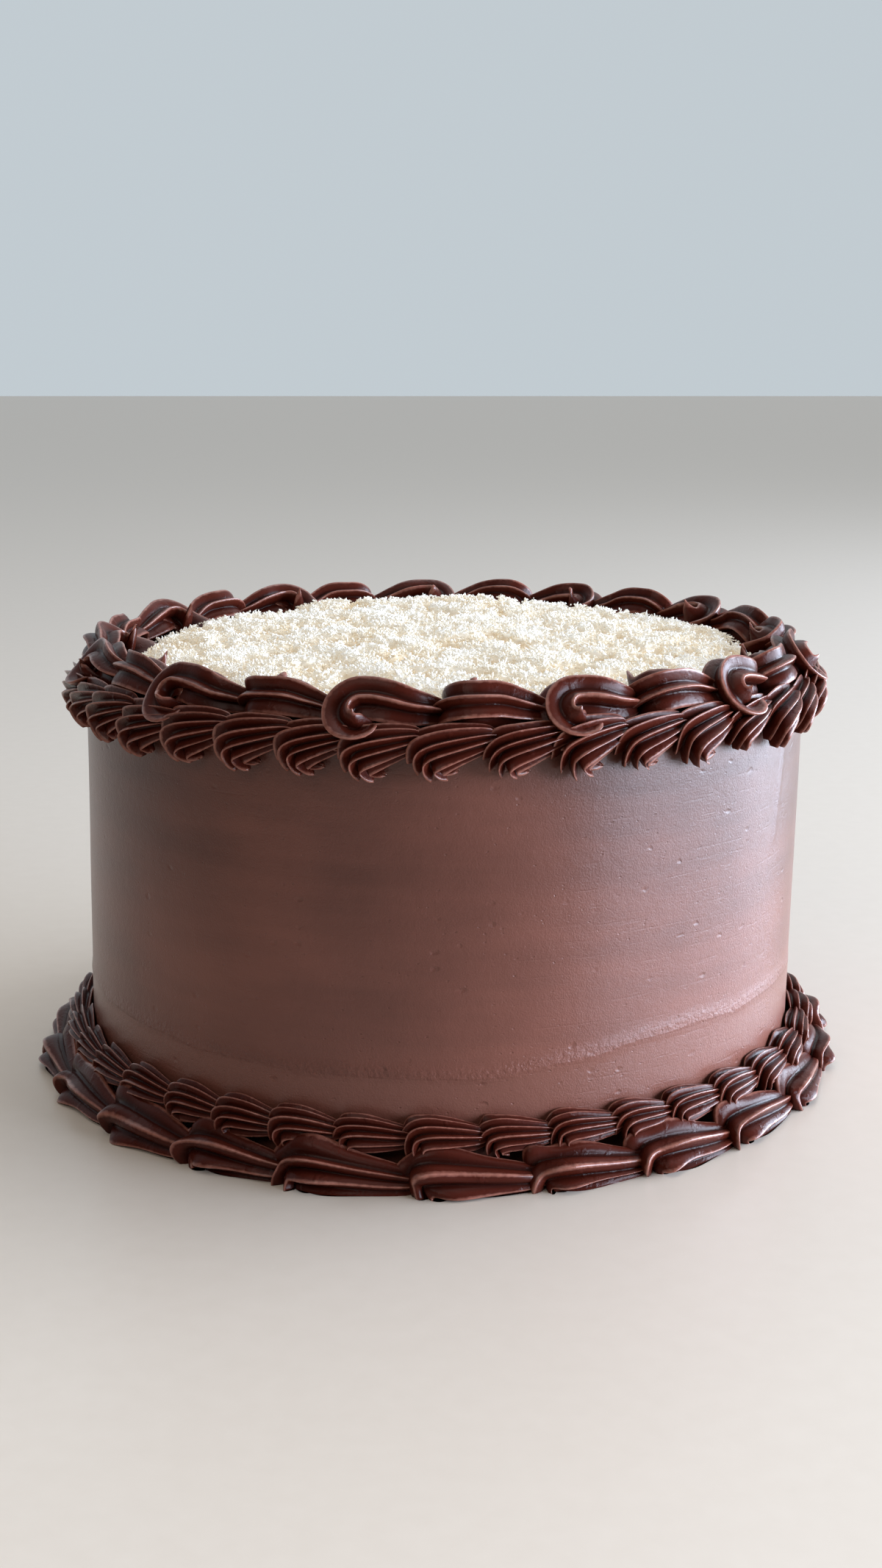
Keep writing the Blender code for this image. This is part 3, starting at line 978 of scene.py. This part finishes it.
def coconut_finish(name, low, high, glow):
    material, mix = new_recipe(name, IOR=1.4, Roughness=0.7, Specular_IOR_Level=0.3,
                               Emission_Color=GLOW, Emission_Strength=glow)
    patch = mix.steps(mix.spots(scale=70.0, detail=3.0), 0.38, 0.62)
    mix.set(Base_Color=mix.blend(mix.crest() * 0.75 + patch * 0.25, low, high))
    mix.set(Normal=mix.bump(mix.spots(scale=1800.0, detail=3.0), distance=0.0002, strength=0.6))
    return material


underneath = coconut_finish("coconut_underneath", low=(0.76, 0.57, 0.33, 1),
                            high=(0.93, 0.89, 0.80, 1), glow=0.10)
loose = coconut_finish("coconut_white", low=(0.84, 0.70, 0.46, 1),
                       high=(0.95, 0.94, 0.91, 1), glow=0.13)
dress(bed, "coconut", underneath)
dress(shred_piece, "coconut", loose)
dress(crumb_piece, "coconut", loose)

# %% [markdown]
# ## Camera
# The camera stands a little above the cake, as in the photograph, and looks slightly down.

# %% Camera
camera_data = bpy.data.cameras.new("camera")
camera_data.sensor_width = 36.0
camera_data.lens = 44.94
camera_data.clip_start = 0.02
camera = bpy.data.objects.new("camera", camera_data)
camera.location = (0.00056, -0.54766, 0.20245)
camera.rotation_euler = (math.radians(77.02), 0.0, 0.0)
bpy.context.scene.collection.objects.link(camera)
bpy.context.scene.camera = camera
print("camera at", tuple(round(v, 3) for v in camera.location))

# %% [markdown]
# ## Floor
# The floor is only a stage: plain and pale, with a fine grain and a slight sheen. Light that
# falls on it comes back warm and fills the shadows from below.

# %% Pale floor
HALF_FLOOR = 6.0


def pale_floor():
    corners = np.array([(-1, -1, 0), (1, -1, 0), (1, 1, 0), (-1, 1, 0)], float) * HALF_FLOOR
    floor = mesh_object("floor", corners, np.array([(0, 1, 2, 3)]), np.zeros(4), smooth=False)
    material, mix = new_recipe("pale_floor", Roughness=0.32)
    grain = mix.spots(scale=160.0, detail=4.0)
    mix.set(Base_Color=mix.blend(grain, (0.68, 0.585, 0.495, 1), (0.72, 0.625, 0.535, 1)))
    floor.data.materials.append(material)
    return floor


pale_floor()

# %% [markdown]
# ## Light
# A long low window at the right gives the wall its sheen and the ridges their thin lights.
# It has to be low, because the upright wall is seen from above and so mirrors what lies near
# the floor. Two weak lamps and a soft sun from behind keep the coconut bright.

# %% Lamps
AIM = (0.0, 0.0, 0.06)


def soft_light(name, place, size, power, colour):
    lamp = bpy.data.lights.new(name, "AREA")
    lamp.shape = "RECTANGLE"
    lamp.size, lamp.size_y = size
    lamp.energy = power
    lamp.color = colour
    made = bpy.data.objects.new(name, lamp)
    made.location = place
    made.rotation_euler = (Vector(AIM) - Vector(place)).to_track_quat("-Z", "Y").to_euler()
    bpy.context.scene.collection.objects.link(made)
    print("lamp", name, power, "W")


soft_light("window", place=(1.249, -0.044, 0.27), size=(2.1, 0.54), power=74.0,
           colour=(0.68, 0.81, 1.0))
soft_light("overhead", place=(0.0, -0.35, 1.3), size=(0.9, 0.7), power=2.0,
           colour=(1.0, 0.96, 0.90))
soft_light("room", place=(-0.7, -1.4, 1.3), size=(1.0, 0.9), power=6.0,
           colour=(1.0, 0.93, 0.85))
daylight = bpy.data.objects.new("daylight", bpy.data.lights.new("daylight", "SUN"))
daylight.data.energy = 0.75
daylight.data.angle = math.radians(50.0)
daylight.rotation_euler = Vector((0.30, 0.55, 1.0)).to_track_quat("Z", "Y").to_euler()
bpy.context.scene.collection.objects.link(daylight)

# %% [markdown]
# The world is pale grey-blue behind the cake and dim on the camera's side, so that no grey
# veil lies over the deep brown grooves. Plain display colours keep the browns true.

# %% Surroundings
world = bpy.data.worlds.new("studio")
bpy.context.scene.world = world
world.use_nodes = True
sky = Recipe(world.node_tree, "Background")
depth = sky.node("SeparateXYZ", "Y", Vector=sky.node("TexCoord", "Generated"))
behind = sky.steps(depth, -0.35, 0.45)
sky.set(Color=sky.blend(behind, (0.07, 0.065, 0.06, 1.0), (0.54, 0.60, 0.64, 1.0)))
bpy.context.scene.view_settings.view_transform = "Standard"
print("surroundings:", world.name)
